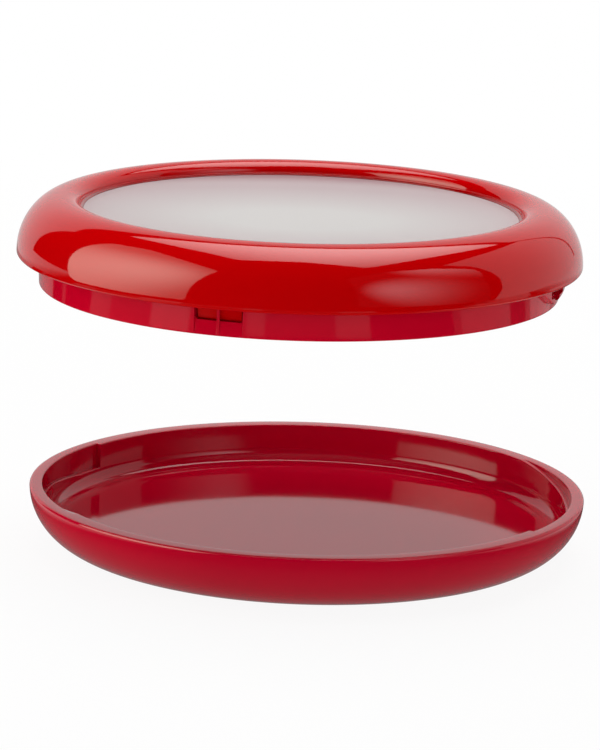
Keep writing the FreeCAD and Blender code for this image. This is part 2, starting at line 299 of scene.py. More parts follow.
def arc(centre, radii, start, end, steps):
    """Points of an ellipse's arc, as (radius, height), from one angle in degrees to another."""
    points = []
    for step in range(steps + 1):
        turn = math.radians(start + (end - start) * step / steps)
        points.append((centre[0] + radii[0] * math.cos(turn),
                       centre[1] + radii[1] * math.sin(turn)))
    return points


def on_round(radius, height, azimuth):
    """The point at a radius, height and azimuth in radians."""
    turn = azimuth - math.pi / 2
    return Vector((radius * math.cos(turn), radius * math.sin(turn), height))


def bridge(mesh, ring, following, count):
    """Fills between two rings of points, along the first edges of their section."""
    for index in range(count):
        after = (index + 1) % len(ring)
        mesh.faces.new((ring[index], following[index], following[after], ring[after]))


def spin(columns, closed_profile):
    """A bmesh skinned over (azimuth, profile) columns that go once round the axis."""
    mesh = bmesh.new()
    rings = [[mesh.verts.new(on_round(r, z, turn)) for r, z in profile]
             for turn, profile in columns]
    count = len(rings[0]) if closed_profile else len(rings[0]) - 1
    for ring, following in zip(rings, rings[1:] + rings[:1]):
        bridge(mesh, ring, following, count)
    bmesh.ops.remove_doubles(mesh, verts=mesh.verts, dist=TINY)
    bmesh.ops.recalc_face_normals(mesh, faces=mesh.faces)
    return mesh


def mesh_data(name, mesh):
    """The bmesh as mesh data. The bmesh is freed."""
    data = bpy.data.meshes.new(name)
    mesh.to_mesh(data)
    mesh.free()
    return data


def add_object(name, data):
    """A new object, linked to the scene."""
    made = bpy.data.objects.new(name, data)
    bpy.context.scene.collection.objects.link(made)
    return made


def finish_piece(mesh, name, body, node, material, lift=None):
    """The bmesh as a finished object that rides on a body in place of a CAD node."""
    if lift is not None:
        bmesh.ops.translate(mesh, verts=mesh.verts, vec=lift)
    data = mesh_data(name, mesh)
    data.polygons.foreach_set("use_smooth", [True] * len(data.polygons))
    data.set_sharp_from_angle(angle=SHARP_ANGLE)
    data.materials.append(material)
    piece = add_object(name, data)
    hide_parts(node)
    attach(piece, body)


def azimuths(extra):
    """Even azimuths once round, in radians, with the extra ones let in."""
    even = [math.tau * index / COLUMNS for index in range(COLUMNS)]
    kept = [turn for turn in even if all(abs(turn - other) > TINY for other in extra)]
    return sorted(kept + list(extra))


def add_node(tree, kind, settings=None, inputs=None):
    """Adds a node, sets its properties, and fills or links its inputs."""
    made = tree.nodes.new(kind)
    for name, value in (settings or {}).items():
        setattr(made, name, value)
    for name, value in (inputs or {}).items():
        if isinstance(value, bpy.types.NodeSocket):
            tree.links.new(value, made.inputs[name])
        else:
            made.inputs[name].default_value = value
    return made


def noise_scale(millimetres):
    """The scale at which a noise texture's blotches are about this wide."""
    return 1 / (millimetres * MM)


def blank_material(name):
    """A new material and its node tree, with no nodes in it."""
    material = bpy.data.materials.new(name)
    material.use_nodes = True
    material.node_tree.nodes.clear()
    return material, material.node_tree


def red_plastic(name, base, deep_factor, roughness, crease=0.0):
    """Injection-moulded ABS from a polished tool: an even colour and a wet-looking gloss."""
    material, tree = blank_material(name)
    place = add_node(tree, "ShaderNodeTexCoord").outputs["Object"]
    # Pigment swirls of about 30 mm, too weak to see as a pattern
    flow = add_node(tree, "ShaderNodeTexNoise", None,
                    {"Vector": place, "Scale": noise_scale(30.3), "Detail": 3.0})
    deep = [part * deep_factor for part in base]
    tint = add_node(tree, "ShaderNodeMix", {"data_type": "RGBA"},
                    {"Factor": flow.outputs["Fac"], "A": (*deep, 1), "B": (*base, 1)})
    # Sink marks of a moulded wall, about 12 mm across and a few micrometres deep
    sink = add_node(tree, "ShaderNodeTexNoise", None,
                    {"Vector": place, "Scale": noise_scale(12.5), "Detail": 1.0})
    wave = add_node(tree, "ShaderNodeBump", None,
                    {"Height": sink.outputs["Fac"], "Strength": 0.05, "Distance": 0.2 * MM})
    # No moulded edge is knife-sharp, so each catches a thin line of light
    edge = add_node(tree, "ShaderNodeBevel", {"samples": 6},
                    {"Radius": 0.15 * MM, "Normal": wave.outputs["Normal"]})
    # Fine rub marks, about 2 mm apart, that dull the gloss a little
    rub = add_node(tree, "ShaderNodeTexNoise", None,
                   {"Vector": place, "Scale": noise_scale(2), "Detail": 4.0})
    dull = add_node(tree, "ShaderNodeMapRange", None,
                    {"Value": rub.outputs["Fac"], "To Min": roughness * (1 - RUB_SPREAD),
                     "To Max": roughness * (1 + RUB_SPREAD)})
    # Painted shade: inside the crease radius, where a fine bevel meets the film, the base colour is
    # darkened as if shaded
    flat = add_node(tree, "ShaderNodeVectorMath", {"operation": "MULTIPLY_ADD"},
                    {0: place, 1: (1, 1, 0), 2: (-LID_PLACE.x, 0, 0)})
    from_axis = add_node(tree, "ShaderNodeVectorMath", {"operation": "LENGTH"},
                         {0: flat.outputs["Vector"]})
    open_part = add_node(tree, "ShaderNodeMapRange", None,
                         {"Value": from_axis.outputs["Value"], "From Min": crease - CREASE_WIDTH,
                          "From Max": crease})
    dark = [part * CREASE_SHADE for part in base]
    shaded = add_node(tree, "ShaderNodeMix", {"data_type": "RGBA"},
                      {"Factor": open_part.outputs["Result"], "A": (*dark, 1),
                       "B": tint.outputs[2]})
    surface = add_node(tree, "ShaderNodeBsdfPrincipled", None, {
        "Base Color": shaded.outputs[2], "Roughness": dull.outputs["Result"], "IOR": 1.5,
        "Normal": edge.outputs["Normal"],
    })
    add_node(tree, "ShaderNodeOutputMaterial", None, {"Surface": surface.outputs["BSDF"]})
    return material


def frosted_membrane(base):
    """Matt thermoplastic elastomer from a sandblasted tool: a soft haze with no mirror image."""
    material, tree = blank_material("Frosted elastomer, moulded")
    place = add_node(tree, "ShaderNodeTexCoord").outputs["Object"]
    # A cloudy haze of about 33 mm
    haze = add_node(tree, "ShaderNodeTexNoise", None,
                    {"Vector": place, "Scale": noise_scale(33.3), "Detail": 2.0})
    grey = [part * HAZE_SHADE for part in base]
    tint = add_node(tree, "ShaderNodeMix", {"data_type": "RGBA"},
                    {"Factor": haze.outputs["Fac"], "A": (*grey, 1), "B": (*base, 1)})
    # Painted reflection: towards its edge the film is tinted with the red light that the ring it is
    # stretched in throws on it
    from_spot = add_node(tree, "ShaderNodeVectorMath", {"operation": "SUBTRACT"},
                         {0: place, 1: RED_FREE_SPOT})
    oval = add_node(tree, "ShaderNodeVectorMath", {"operation": "MULTIPLY"},
                    {0: from_spot.outputs["Vector"], 1: SPOT_STRETCH})
    away = add_node(tree, "ShaderNodeVectorMath", {"operation": "LENGTH"},
                    {0: oval.outputs["Vector"]})
    red_reflection_part = add_node(tree, "ShaderNodeMapRange", None,
                     {"Value": away.outputs["Value"], "From Min": RED_REFLECTION_REACH[0],
                      "From Max": RED_REFLECTION_REACH[1]})
    with_red_reflection = add_node(tree, "ShaderNodeMix", {"data_type": "RGBA", "blend_type": "MULTIPLY"},
                    {"Factor": red_reflection_part.outputs["Result"], "A": tint.outputs[2],
                     "B": (*linear(FILM_RED_REFLECTION), 1)})
    # Painted shade: at the back the film's edge is darkened where the ring's wall would shade it
    depth = add_node(tree, "ShaderNodeMapRange", {"interpolation_type": "SMOOTHSTEP"},
                     {"Value": away.outputs["Value"], "From Min": SHADE_REACH[0],
                      "From Max": SHADE_REACH[1]})
    shaded = add_node(tree, "ShaderNodeMix", {"data_type": "RGBA", "blend_type": "MULTIPLY"},
                      {"Factor": depth.outputs["Result"], "A": with_red_reflection.outputs[2],
                       "B": (*linear(FILM_SHADE), 1)})
    # Blasted grain: really about 0.1 mm, drawn at 0.4 mm so that it shows
    grain = add_node(tree, "ShaderNodeTexNoise", None,
                     {"Vector": place, "Scale": noise_scale(0.4), "Detail": 2.0})
    frost = add_node(tree, "ShaderNodeBump", None,
                     {"Height": grain.outputs["Fac"], "Strength": 0.25, "Distance": 0.08 * MM})
    surface = add_node(tree, "ShaderNodeBsdfPrincipled", None, {
        "Base Color": shaded.outputs[2], "Roughness": 0.55, "IOR": 1.45,
        "Normal": frost.outputs["Normal"],
    })
    add_node(tree, "ShaderNodeOutputMaterial", None, {"Surface": surface.outputs["BSDF"]})
    return material


def repeat_tree():
    """Geometry Nodes: copies of one mesh, evenly round the Z axis."""
    tree = bpy.data.node_groups.new("Repeat Round Axis", "GeometryNodeTree")
    for name, way, kind in (("Geometry", "INPUT", "Geometry"), ("Count", "INPUT", "Int"),
                            ("Step", "INPUT", "Float"), ("Material", "INPUT", "Material"),
                            ("Geometry", "OUTPUT", "Geometry")):
        tree.interface.new_socket(name, in_out=way, socket_type="NodeSocket" + kind)
    given = add_node(tree, "NodeGroupInput").outputs
    one = add_node(tree, "GeometryNodeGeometryToInstance", None, {"Geometry": given["Geometry"]})
    copies = add_node(tree, "GeometryNodeDuplicateElements", {"domain": "INSTANCE"},
                      {"Geometry": one.outputs["Instances"], "Amount": given["Count"]})
    turn = add_node(tree, "ShaderNodeMath", {"operation": "MULTIPLY"},
                    {0: copies.outputs["Duplicate Index"], 1: given["Step"]})
    about_z = add_node(tree, "ShaderNodeCombineXYZ", None, {"Z": turn.outputs["Value"]})
    turned = add_node(tree, "GeometryNodeRotateInstances", None,
                      {"Instances": copies.outputs["Geometry"],
                       "Rotation": about_z.outputs["Vector"], "Local Space": False})
    real = add_node(tree, "GeometryNodeRealizeInstances", None,
                    {"Geometry": turned.outputs["Instances"]})
    finished = add_node(tree, "GeometryNodeSetMaterial", None,
                        {"Geometry": real.outputs["Geometry"], "Material": given["Material"]})
    add_node(tree, "NodeGroupOutput", None, {"Geometry": finished.outputs["Geometry"]})
    return tree


def evaluated(holder):
    """An object's mesh with its modifiers applied, as a new bmesh."""
    ready = holder.evaluated_get(bpy.context.evaluated_depsgraph_get())
    mesh = bmesh.new()
    mesh.from_mesh(bpy.data.meshes.new_from_object(ready))
    return mesh


def repeated(mesh, count, material):
    """The mesh copied evenly round the Z axis, as a new bmesh."""
    holder = add_object("one", mesh_data("one", mesh))
    tree = bpy.data.node_groups.get("Repeat Round Axis") or repeat_tree()
    modifier = holder.modifiers.new("repeat", "NODES")
    modifier.node_group = tree
    sizes = {"Count": count, "Step": math.tau / count, "Material": material}
    for item in tree.interface.items_tree:
        if item.in_out == "INPUT" and item.name in sizes:
            modifier[item.identifier] = sizes[item.name]
    copies = evaluated(holder)
    holder.modifiers.remove(modifier)
    bpy.data.objects.remove(holder)
    return copies


def joined(meshes):
    """Several bmeshes as one."""
    whole = bmesh.new()
    for mesh in meshes:
        data = mesh_data("part", mesh)
        whole.from_mesh(data)
        bpy.data.meshes.remove(data)
    return whole


def swept_block(section, start, end):
    """A (radius, height) section swept from one azimuth to another, with flat ends."""
    pieces = max(1, math.ceil((end - start) / BLOCK_STEP))
    mesh = bmesh.new()
    rings = []
    for index in range(pieces + 1):
        turn = start + (end - start) * index / pieces
        rings.append([mesh.verts.new(on_round(r, z, turn)) for r, z in section])
    for ring, following in zip(rings, rings[1:]):
        bridge(mesh, ring, following, len(section))
    mesh.faces.new(rings[0])
    mesh.faces.new(rings[-1])
    bmesh.ops.recalc_face_normals(mesh, faces=mesh.faces)
    return mesh


def curved_block(corners, inner, outer):
    """A block with a given (azimuth, height) outline, between two radii."""
    outline = []
    for (turn, height), (next_turn, next_height) in zip(corners, corners[1:] + corners[:1]):
        pieces = max(1, math.ceil(abs(next_turn - turn) / WINDOW_STEP))
        for piece in range(pieces):
            part = piece / pieces
            outline.append((turn + (next_turn - turn) * part,
                            height + (next_height - height) * part))
    mesh = bmesh.new()
    near = [mesh.verts.new(on_round(inner, height, turn)) for turn, height in outline]
    far = [mesh.verts.new(on_round(outer, height, turn)) for turn, height in outline]
    count = len(outline)
    for index in range(count):
        after = (index + 1) % count
        mesh.faces.new((near[index], near[after], far[after], far[index]))
    mesh.faces.new(near)
    mesh.faces.new(far)
    bmesh.ops.triangulate(mesh, faces=[face for face in mesh.faces if len(face.verts) > 4])
    bmesh.ops.recalc_face_normals(mesh, faces=mesh.faces)
    return mesh


def rounded_window(middle, half_width, top, bottom, radius, at_radius):
    """The (azimuth, height) outline of a round-cornered opening."""
    turn = radius / at_radius
    outline = []
    for side, height, start in ((1, top, 0), (-1, top, 90), (-1, bottom, 180), (1, bottom, 270)):
        centre_turn = middle + side * (half_width - turn)
        inward = -radius if height == top else radius
        for across, up in arc((0, 0), (turn, radius), start, start + 90, ROUND_STEPS):
            outline.append((centre_turn + across, height + inward + up))
    return outline


def cut(mesh, cutter):
    """The first bmesh with the second taken out of it."""
    whole = add_object("whole", mesh_data("whole", mesh))
    tool = add_object("cutter", mesh_data("cutter", cutter))
    modifier = whole.modifiers.new("cut", "BOOLEAN")
    modifier.operation = "DIFFERENCE"
    modifier.solver = "EXACT"
    modifier.object = tool
    left = evaluated(whole)
    for holder in (whole, tool):
        bpy.data.objects.remove(holder)
    return left


def dish_profile(sizes, ledge_z):
    """The dish's section for a height of the ramp's ledge. At the rim's height it has no ramp."""
    centre = (sizes.rim_radius - sizes.side_radius, RIM_Z)
    land = sizes.rim_radius - sizes.land
    notch = land + sizes.ramp_width
    foot_inner = sizes.foot_radius - sizes.foot_width
    soften = sizes.inner_round
    notch_round = min(soften, NOTCH_PART * (RIM_Z - ledge_z))
    floor_z = RIM_Z - sizes.floor_depth
    under_z = floor_z - sizes.floor
    fillet = (land - sizes.fillet, floor_z + sizes.fillet)
    ledge_turn = -math.degrees(math.asin(max(0.0, fillet[1] - ledge_z + soften) / sizes.fillet))
    rim_turn = -math.degrees(math.asin(sizes.rim_round / sizes.side_radius))
    points = [(0, 0), (sizes.pad_radius - soften, 0), (sizes.pad_radius, soften),
              (sizes.pad_radius, under_z), (foot_inner, under_z)]
    points += [(foot_inner, soften), (foot_inner + soften, 0), (sizes.foot_radius - soften, 0),
               (sizes.foot_radius, soften), (sizes.foot_radius, sizes.foot_height)]
    points += arc(centre, (sizes.side_radius, sizes.side_radius), -90, rim_turn, SIDE_STEPS)
    rim_edge = points.pop()
    points += arc((rim_edge[0] - sizes.rim_round, rim_edge[1]),
                  (sizes.rim_round, RIM_Z - rim_edge[1]), 0, 90, RIM_STEPS)
    points += arc((notch + notch_round, RIM_Z - notch_round), (notch_round, notch_round),
                  90, 180, ROUND_STEPS)
    points.append((notch, ledge_z))
    points += arc((land + soften, ledge_z - soften), (soften, soften), 90, 180, ROUND_STEPS)
    points += arc(fillet, (sizes.fillet, sizes.fillet), ledge_turn, -90, FILLET_STEPS)
    points += [(fillet[0] * part, floor_z) for part in FLOOR_RINGS]
    return points


def ledge_height(sizes, turn):
    """The ledge's height at an azimuth from its ramp's stop: the rim's where there is no ramp."""
    low = RIM_Z - sizes.ramp_drop
    if turn <= sizes.rest_sweep:
        return low
    climb = (turn - sizes.rest_sweep) / sizes.ramp_sweep
    return min(RIM_Z, low + climb * sizes.ramp_drop)


def stepped_columns(starts, heights, plain, profile):
    """Columns round the axis for a profile that steps at each start and varies after it."""
    columns = []
    for turn in azimuths(starts):
        behind = min((turn - start) % math.tau for start in starts)
        at_start = any(abs(turn - start) < TINY for start in starts)
        if at_start:
            columns.append((turn, profile(plain)))
            behind = 0
        columns.append((turn, profile(heights(behind))))
    return columns


class SAVER_OT_dish(bpy.types.Operator):
    """Builds the dish: foot, quarter-round side, flat rim and two cam ramps"""
    bl_idname = "saver.dish"
    bl_label = "Dish"

    def execute(self, context):
        sizes = context.scene.saver_dish
        starts = [sizes.stop, sizes.stop + math.pi]
        columns = stepped_columns(starts, lambda turn: ledge_height(sizes, turn), RIM_Z,
                                  lambda height: dish_profile(sizes, height))
        material = red_plastic("Polished ABS, dish red", context.scene.saver_finish.dish_red,
                               deep_factor=0.9, roughness=0.07)
        finish_piece(spin(columns, False), "saver_dish", "dish_body", "dish", material)
        return {"FINISHED"}


class SAVER_OT_membrane(bpy.types.Operator):
    """Builds the frosted stretch membrane with its hidden bead"""
    bl_idname = "saver.membrane"
    bl_label = "Membrane"

    def execute(self, context):
        sizes = context.scene.saver_lid
        inner = sizes.opening + sizes.clamp_land + sizes.bead_gap
        outer = inner + sizes.bead_width
        half = 0.5 * sizes.bead_width
        profile = [(inner * part, 0) for part in MEMBRANE_RINGS]
        profile += arc((inner + half, sizes.bead_height - half), (half, half), 180, 0, BEAD_STEPS)
        profile += [(outer, -sizes.membrane), (0.5 * inner, -sizes.membrane), (0, -sizes.membrane)]
        columns = [(turn, profile) for turn in azimuths([])]
        material = frosted_membrane(context.scene.saver_finish.frost)
        finish_piece(spin(columns, False), "saver_membrane", "lid_membrane_body",
                     "stretch_membrane", material, LID_PLACE)
        return {"FINISHED"}


def bezel_profile(sizes):
    """The bezel's closed section: neck, crest, dome, lip, and the clamping foot inside."""
    crest_r = sizes.neck + sizes.crest_side
    lip_z = sizes.lip_round - sizes.bezel_drop
    lip_r = sizes.bezel_radius - sizes.lip_round
    inside_r = sizes.bezel_radius - sizes.bezel_wall
    across = sizes.bezel_radius - crest_r
    up = sizes.crest - lip_z
    inner = (across - sizes.bezel_wall, up - sizes.bezel_wall)
    clamp = sizes.skirt_radius - sizes.clamp_step
    clamp_turn = math.degrees(math.acos((clamp - crest_r) / inner[0]))
    groove_inner = sizes.opening + sizes.clamp_land
    groove_outer = groove_inner + sizes.bead_width + 2 * sizes.bead_gap
    groove_top = sizes.bead_height + sizes.bead_gap
    bevel_foot = 0.5 * sizes.bevel
    bevel_top = bevel_foot + sizes.bevel
    soften = BEVEL_PART * sizes.bevel
    points = [(sizes.opening, 0.0), (sizes.opening, bevel_foot - soften),
              (sizes.opening + soften, bevel_foot + 0.5 * soften),
              (sizes.neck - soften, bevel_top - 0.5 * soften), (sizes.neck, bevel_top + soften)]
    points += arc((crest_r, sizes.crest - sizes.crest_fall), (sizes.crest_side, sizes.crest_fall),
                  180, 90, CREST_STEPS)
    points += arc((crest_r, lip_z), (across, up), 90, 0, DOME_STEPS)[1:]
    points += arc((lip_r, lip_z), (sizes.lip_round, sizes.lip_round), 0, -90, LIP_STEPS)[1:]
    points += [(inside_r, -sizes.bezel_drop)]
    points += arc((crest_r, lip_z), inner, 0, clamp_turn, CREST_STEPS)
    points += [(clamp, -sizes.membrane), (groove_outer, -sizes.membrane),
               (groove_outer, groove_top), (groove_inner, groove_top), (groove_inner, 0.0)]
    return points


def tab_blocks(sizes):
    """The sections and sweeps of a snap tab's tongue and of its barb."""
    outer = sizes.skirt_radius - sizes.skirt_wall - sizes.tab_gap
    inner = outer - sizes.tab_thickness
    foot = -sizes.window_bottom - sizes.tab_overlap
    head = 0.5 * sizes.web - sizes.membrane
    barb_top = -sizes.window_top - sizes.tab_gap
    barb_foot = barb_top - sizes.barb_height
    tongue = [(inner, head), (inner, foot), (outer, foot), (outer, head)]
    barb = [(inner, barb_top), (inner, barb_foot), (outer + sizes.barb_foot, barb_foot),
            (outer + sizes.barb_reach, barb_top)]
    return ((tongue, sizes.tab_sweep), (barb, sizes.barb_sweep))


class SAVER_OT_bezel(bpy.types.Operator):
    """Builds the lid's glossy ring and its four snap tabs"""
    bl_idname = "saver.bezel"
    bl_label = "Bezel"

    def execute(self, context):
        sizes = context.scene.saver_lid
        profile = bezel_profile(sizes)
        ring = spin([(turn, profile) for turn in azimuths([])], True)
        # The bezel gets painted shade in its crease out to the neck's radius
        material = red_plastic("Polished ABS, bezel red", context.scene.saver_finish.bezel_red,
                               deep_factor=0.94, roughness=0.045, crease=sizes.neck)
        blocks = [ring]
        for section, sweep in tab_blocks(sizes):
            start = sizes.window_middle - 0.5 * sweep
            block = swept_block(section, start, start + sweep)
            blocks.append(repeated(block, WINDOW_COUNT, material))
        finish_piece(joined(blocks), "saver_bezel", "lid_ring_body", "lid_bezel",
                     material, LID_PLACE)
        return {"FINISHED"}


class SAVER_OT_collar(bpy.types.Operator):
    """Builds the lid's collar: web, skirt, two cams, snap windows and cam pockets"""
    bl_idname = "saver.collar"
    bl_label = "Collar"

    def execute(self, context):
        sizes = context.scene.saver_lid
        dish = context.scene.saver_dish
        climb = dish.ramp_drop / dish.ramp_sweep
        starts = [sizes.cam_start, sizes.cam_start + math.pi]
        cam_sweep = sizes.cam_rake_sweep + (sizes.cam_drop - sizes.cam_top) / climb

        def lower_edge(turn):
            if turn > cam_sweep:
                return -sizes.cam_top
            raked = max(0.0, 1 - turn / sizes.cam_rake_sweep) * sizes.cam_rake
            climbed = max(0.0, turn - sizes.cam_rake_sweep) * climb
            return -sizes.cam_drop + raked + climbed

        columns = stepped_columns(starts, lower_edge, -sizes.cam_top,
                                  lambda height: collar_profile(sizes, height))
        material = red_plastic("Polished ABS, collar red", context.scene.saver_finish.collar_red,
                               deep_factor=0.92, roughness=0.07)
        collar = spin(columns, True)
        for cutter, count in ((window_cutter(sizes), WINDOW_COUNT), (sill_cutter(sizes), CAM_COUNT),
                              (pocket_cutter(sizes), CAM_COUNT)):
            collar = cut(collar, repeated(cutter, count, material))
        bars = repeated(mullion(sizes), CAM_COUNT, material)
        finish_piece(joined([collar, bars]), "saver_collar", "lid_ring_body", "locking_collar",
                     material, LID_PLACE)
        return {"FINISHED"}


def window_cutter(sizes):
    """What is cut out of the skirt for a snap window."""
    outline = rounded_window(sizes.window_middle, 0.5 * sizes.window_sweep, -sizes.window_top,
                             -sizes.window_bottom, sizes.window_round, sizes.skirt_radius)
    return curved_block(outline, sizes.skirt_radius - sizes.skirt_wall - PAST,
                        sizes.cam_radius + PAST)


def sill_cutter(sizes):
    """What is cut back below a window, between the cams."""
    top = -sizes.window_bottom + sizes.window_round
    foot = -sizes.skirt_drop - PAST
    start = sizes.window_middle - 0.5 * sizes.window_sweep
    section = [(sizes.skirt_radius - sizes.sill_recess, top),
               (sizes.skirt_radius - sizes.sill_recess + sizes.sill_slope, foot),
               (sizes.cam_radius + PAST, foot), (sizes.cam_radius + PAST, top)]
    return swept_block(section, start, start + sizes.window_sweep)


def pocket_cutter(sizes):
    """A round-bottomed pocket in a cam, in front of a window."""
    radius = 0.5 * sizes.pocket_width
    half = radius / sizes.skirt_radius
    low = radius - sizes.pocket_drop
    top = PAST - sizes.cam_top
    outline = [(sizes.pocket_middle + half, top), (sizes.pocket_middle - half, top)]
    outline += [(sizes.pocket_middle + across, low + up)
                for across, up in arc((0, 0), (half, radius), 180, 360, POCKET_STEPS)]
    return curved_block(outline, sizes.skirt_radius, sizes.cam_radius + PAST)


def mullion(sizes):
    """The thin upright in the middle of a window."""
    half = 0.5 * sizes.mullion_width / sizes.skirt_radius
    outer = sizes.skirt_radius - sizes.skirt_draft
    inner = outer - sizes.mullion_depth
    top = sizes.skirt_draft - sizes.window_top
    foot = sizes.skirt_round - sizes.skirt_drop
    section = [(inner, foot), (outer, foot), (outer, top), (inner, top)]
    return swept_block(section, sizes.window_middle - half, sizes.window_middle + half)


def collar_profile(sizes, cam_z):
    """The collar's section for a height of the cam's lower edge. At the cam's top it has no cam."""
    clamp = sizes.skirt_radius - sizes.clamp_step
    web_inner = sizes.opening - sizes.web_step
    web_top = -sizes.membrane
    web_bottom = web_top - sizes.web
    skirt_inner = sizes.skirt_radius - sizes.skirt_wall
    foot = sizes.skirt_radius - sizes.skirt_draft
    edge = sizes.skirt_round
    edge_z = edge - sizes.skirt_drop
    corner = sizes.web_round
    has_cam = cam_z < -sizes.cam_top - TINY
    cam_radius = sizes.cam_radius if has_cam else sizes.skirt_radius
    cam_round = min(sizes.cam_round, CAM_PART * (-sizes.cam_top - cam_z)) if has_cam else 0
    points = [(web_inner, web_bottom), (web_inner, web_top), (clamp, web_top)]
    points += [(sizes.skirt_radius, web_top - sizes.clamp_step),
               (sizes.skirt_radius, -sizes.cam_top), (cam_radius, -sizes.cam_top)]
    points += arc((cam_radius - cam_round, cam_z + cam_round), (cam_round, cam_round),
                  0, -90, ROUND_STEPS)
    drop = max(0.0, -cam_z - sizes.bezel_drop) / (sizes.skirt_drop - sizes.bezel_drop)
    points += [(sizes.skirt_radius - sizes.skirt_draft * drop, cam_z)]
    points += arc((foot - edge, edge_z), (edge, edge), 0, -90, ROUND_STEPS)
    points += arc((skirt_inner + edge, edge_z), (edge, edge), -90, -180, ROUND_STEPS)
    points += arc((skirt_inner - corner, web_bottom - corner), (corner, corner), 0, 90, ROUND_STEPS)
    return points


class SAVER_OT_stage(bpy.types.Operator):
    """Sets the floor, the surroundings, the light cards and the camera"""
    bl_idname = "saver.stage"
    bl_label = "Stage"

    def execute(self, context):
        add_floor()
        add_world()
        add_cards()
        add_strips()
        add_fill()
        add_camera()
        context.scene.view_settings.view_transform = "Standard"
        return {"FINISHED"}


def stage_mesh(name, corners, corner_round, material):
    """A flat polygon of the stage, with its corners rounded."""
    mesh = bmesh.new()
    mesh.faces.new([mesh.verts.new(corner) for corner in corners])
    if corner_round:
        bmesh.ops.bevel(mesh, geom=list(mesh.verts), offset=corner_round, segments=CARD_ROUND_STEPS,
                        affect="VERTICES", profile=0.5)
    data = mesh_data(name, mesh)
    data.materials.append(material)
    card = add_object(name, data)
    return card


def add_floor():
    """White paper: bright to the camera but for the shadow, and dim where the gloss mirrors it."""
    material, tree = blank_material("White paper sweep")
    path = add_node(tree, "ShaderNodeLightPath").outputs
    place = add_node(tree, "ShaderNodeTexCoord").outputs["Object"]
    parts = add_node(tree, "ShaderNodeSeparateXYZ", None, {"Vector": place})
    behind = add_node(tree, "ShaderNodeMapRange", None,
                      {"Value": parts.outputs["Y"], "From Min": BEHIND[0], "From Max": BEHIND[1],
                       "To Max": BACK_LIGHT})
    # Under the dish the paper is a little light, and past the dish's sides it is lighter
    from_axis = add_node(tree, "ShaderNodeVectorMath", {"operation": "LENGTH"}, {0: place})
    under = add_node(tree, "ShaderNodeMapRange", None,
                     {"Value": from_axis.outputs["Value"], "From Min": UNDER[0],
                      "From Max": UNDER[1], "To Min": UNDER_LIGHT[0], "To Max": UNDER_LIGHT[1]})
    across = add_node(tree, "ShaderNodeMath", {"operation": "ABSOLUTE"}, {0: parts.outputs["X"]})
    beside = add_node(tree, "ShaderNodeMapRange", None,
                      {"Value": across.outputs["Value"], "From Min": BESIDE[0],
                       "From Max": BESIDE[1], "To Max": BESIDE_LIGHT})
    low = add_node(tree, "ShaderNodeMath", {"operation": "MAXIMUM"},
                   {0: under.outputs["Result"], 1: beside.outputs["Result"]})
    near = add_node(tree, "ShaderNodeMapRange", None,
                    {"Value": from_axis.outputs["Value"], "From Min": NEAR[0], "From Max": NEAR[1],
                     "To Min": 1.0, "To Max": 0.0})
    close = add_node(tree, "ShaderNodeMath", {"operation": "MULTIPLY"},
                     {0: low.outputs["Value"], 1: near.outputs["Result"]})
    glow = add_node(tree, "ShaderNodeMath", {"operation": "MAXIMUM"},
                    {0: behind.outputs["Result"], 1: close.outputs["Value"]})
    shown = add_node(tree, "ShaderNodeMath", {"operation": "MAXIMUM"},
                     {0: path["Is Camera Ray"], 1: path["Is Transmission Ray"]})
    # The paper is shaded only near the saver, and plain white further off
    plain = add_node(tree, "ShaderNodeMapRange", None,
                     {"Value": from_axis.outputs["Value"], "From Min": SHADED[0],
                      "From Max": SHADED[1], "To Min": 1 - SHADED_PART, "To Max": 1.0})
    seen = add_node(tree, "ShaderNodeMath", {"operation": "MULTIPLY"},
                    {0: shown.outputs["Value"], 1: plain.outputs["Result"]})
    part = add_node(tree, "ShaderNodeMath", {"operation": "MAXIMUM"},
                    {0: seen.outputs["Value"], 1: TABLE_LIGHT})
    paper = add_node(tree, "ShaderNodeBsdfDiffuse", None, {"Color": (*linear(PAPER), 1)})
    white = add_node(tree, "ShaderNodeEmission", None,
                     {"Color": (*linear(WHITE), 1), "Strength": 1.0})
    mix = add_node(tree, "ShaderNodeMixShader", None,
                   {"Fac": part.outputs["Value"], 1: paper.outputs["BSDF"],
                    2: white.outputs["Emission"]})
    mirrored = add_node(tree, "ShaderNodeEmission", None,
                        {"Color": (*linear(WHITE), 1), "Strength": glow.outputs["Value"]})
    both = add_node(tree, "ShaderNodeMixShader", None,
                    {"Fac": path["Is Glossy Ray"], 1: mix.outputs["Shader"],
                     2: mirrored.outputs["Emission"]})
    add_node(tree, "ShaderNodeOutputMaterial", None, {"Surface": both.outputs["Shader"]})
    corners = [(FLOOR_REACH * x, FLOOR_REACH * y, 0)
               for x, y in ((-1, -1), (1, -1), (1, 1), (-1, 1))]
    stage_mesh("floor", corners, 0, material)


def add_world():
    """White to the camera, black where the gloss mirrors it, and a low even fill."""
    world = bpy.data.worlds.new("Studio")
    bpy.context.scene.world = world
    world.use_nodes = True
    tree = world.node_tree
    tree.nodes.clear()
    path = add_node(tree, "ShaderNodeLightPath").outputs
    shown = add_node(tree, "ShaderNodeMath", {"operation": "MAXIMUM"},
                     {0: path["Is Camera Ray"], 1: path["Is Transmission Ray"]})
    dim = add_node(tree, "ShaderNodeMath", {"operation": "MULTIPLY_ADD"},
                   {0: path["Is Glossy Ray"], 1: -ROOM_LIGHT, 2: ROOM_LIGHT})
    room = add_node(tree, "ShaderNodeBackground", None,
                    {"Color": (*linear(WHITE), 1), "Strength": dim.outputs["Value"]})
    white = add_node(tree, "ShaderNodeBackground", None,
                     {"Color": (*linear(WHITE), 1), "Strength": 1.0})
    mix = add_node(tree, "ShaderNodeMixShader", None,
                   {"Fac": shown.outputs["Value"], 1: room.outputs["Background"],
                    2: white.outputs["Background"]})
    add_node(tree, "ShaderNodeOutputWorld", None, {"Surface": mix.outputs["Shader"]})


